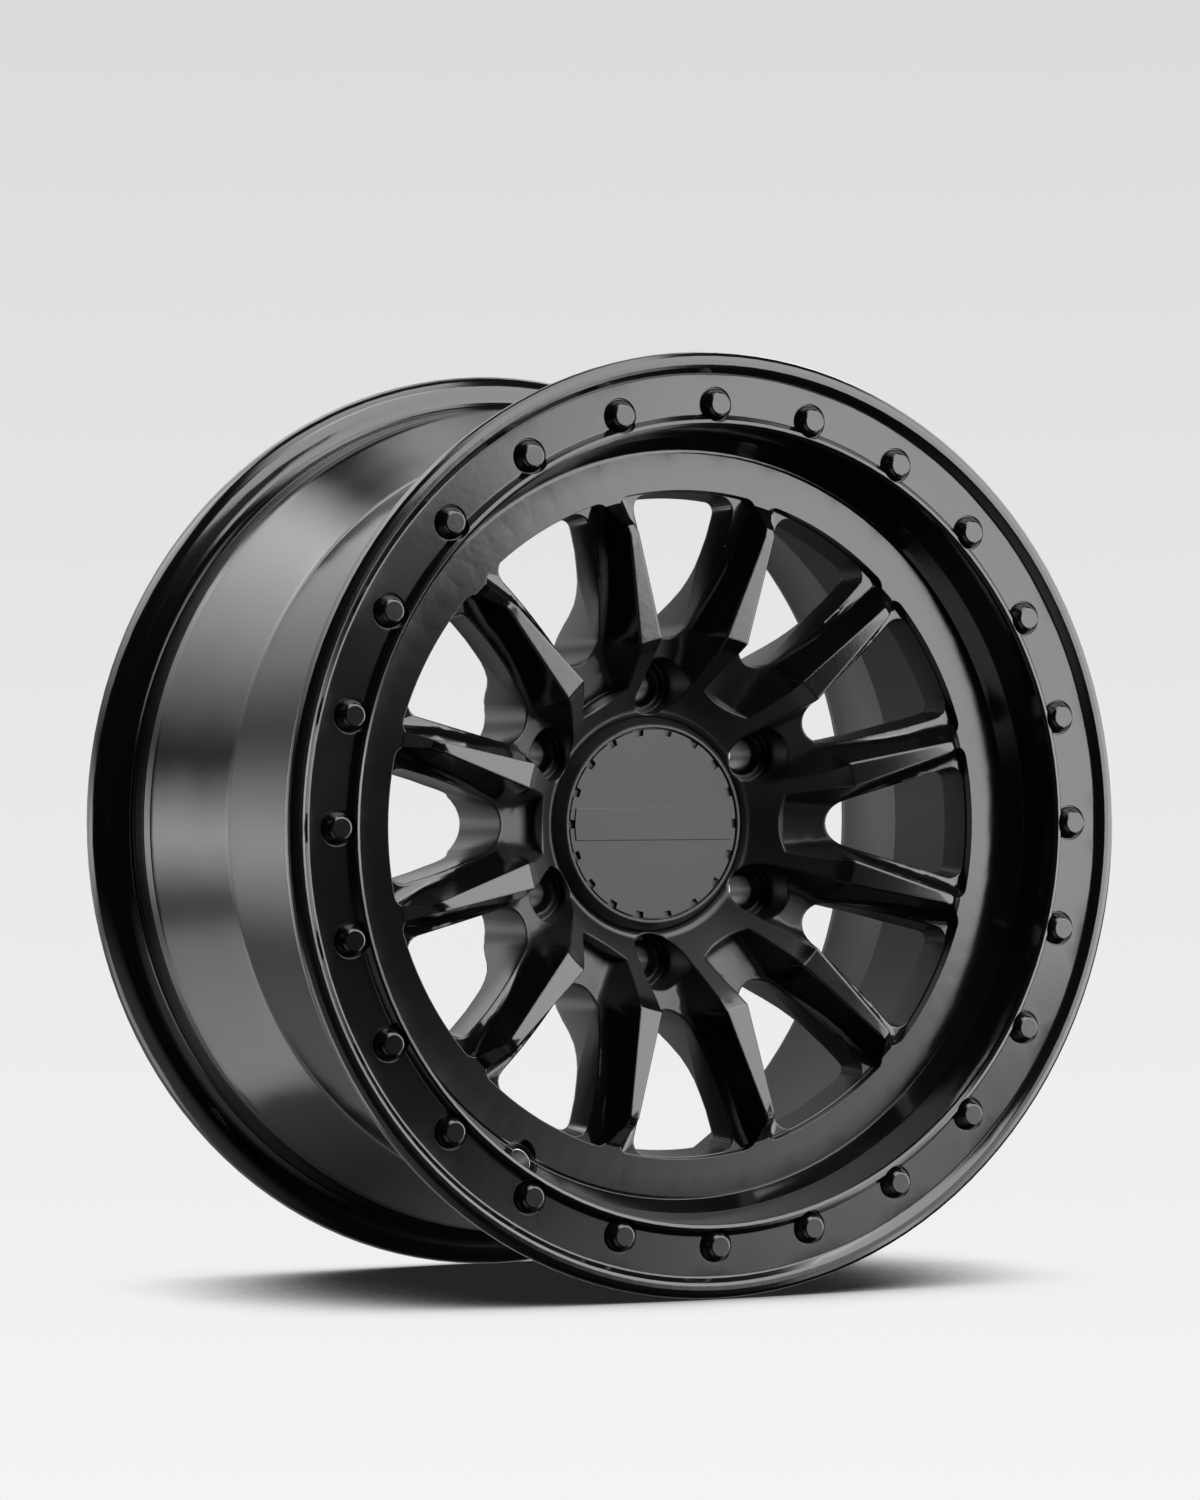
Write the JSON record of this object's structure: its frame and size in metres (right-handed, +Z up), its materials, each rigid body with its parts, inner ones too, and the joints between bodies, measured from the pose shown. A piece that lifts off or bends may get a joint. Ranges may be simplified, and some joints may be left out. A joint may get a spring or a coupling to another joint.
{
  "type": "car wheel",
  "caption": "One-piece cast car wheel with raised spokes, a deep barrel, bolt holes, a snap-in centre cap and a decorative ring of dummy bolts.",
  "frame": {"origin": "middle of the flat face that meets the vehicle's hub, on the wheel's axis", "axes": "+Y runs along the wheel's axis towards the vehicle, so the visible face looks along -Y; +Z is up; the valve hole is low on the -X side"},
  "size_m": [0.4712, 0.2475, 0.4712],
  "materials": {
    "black_paint": "satin black paint on a cast aluminium alloy",
    "stud_black": "satin black, slightly glossier than the rim",
    "cap_black": "satin black moulded plastic",
    "spring_wire": "plain spring wire"
  },
  "bodies": {
    "root": {"wheel_body": "black_paint", "accent_studs": "stud_black", "centre_cap": "cap_black", "cap_ring": "spring_wire"}
  },
  "joints": []
}
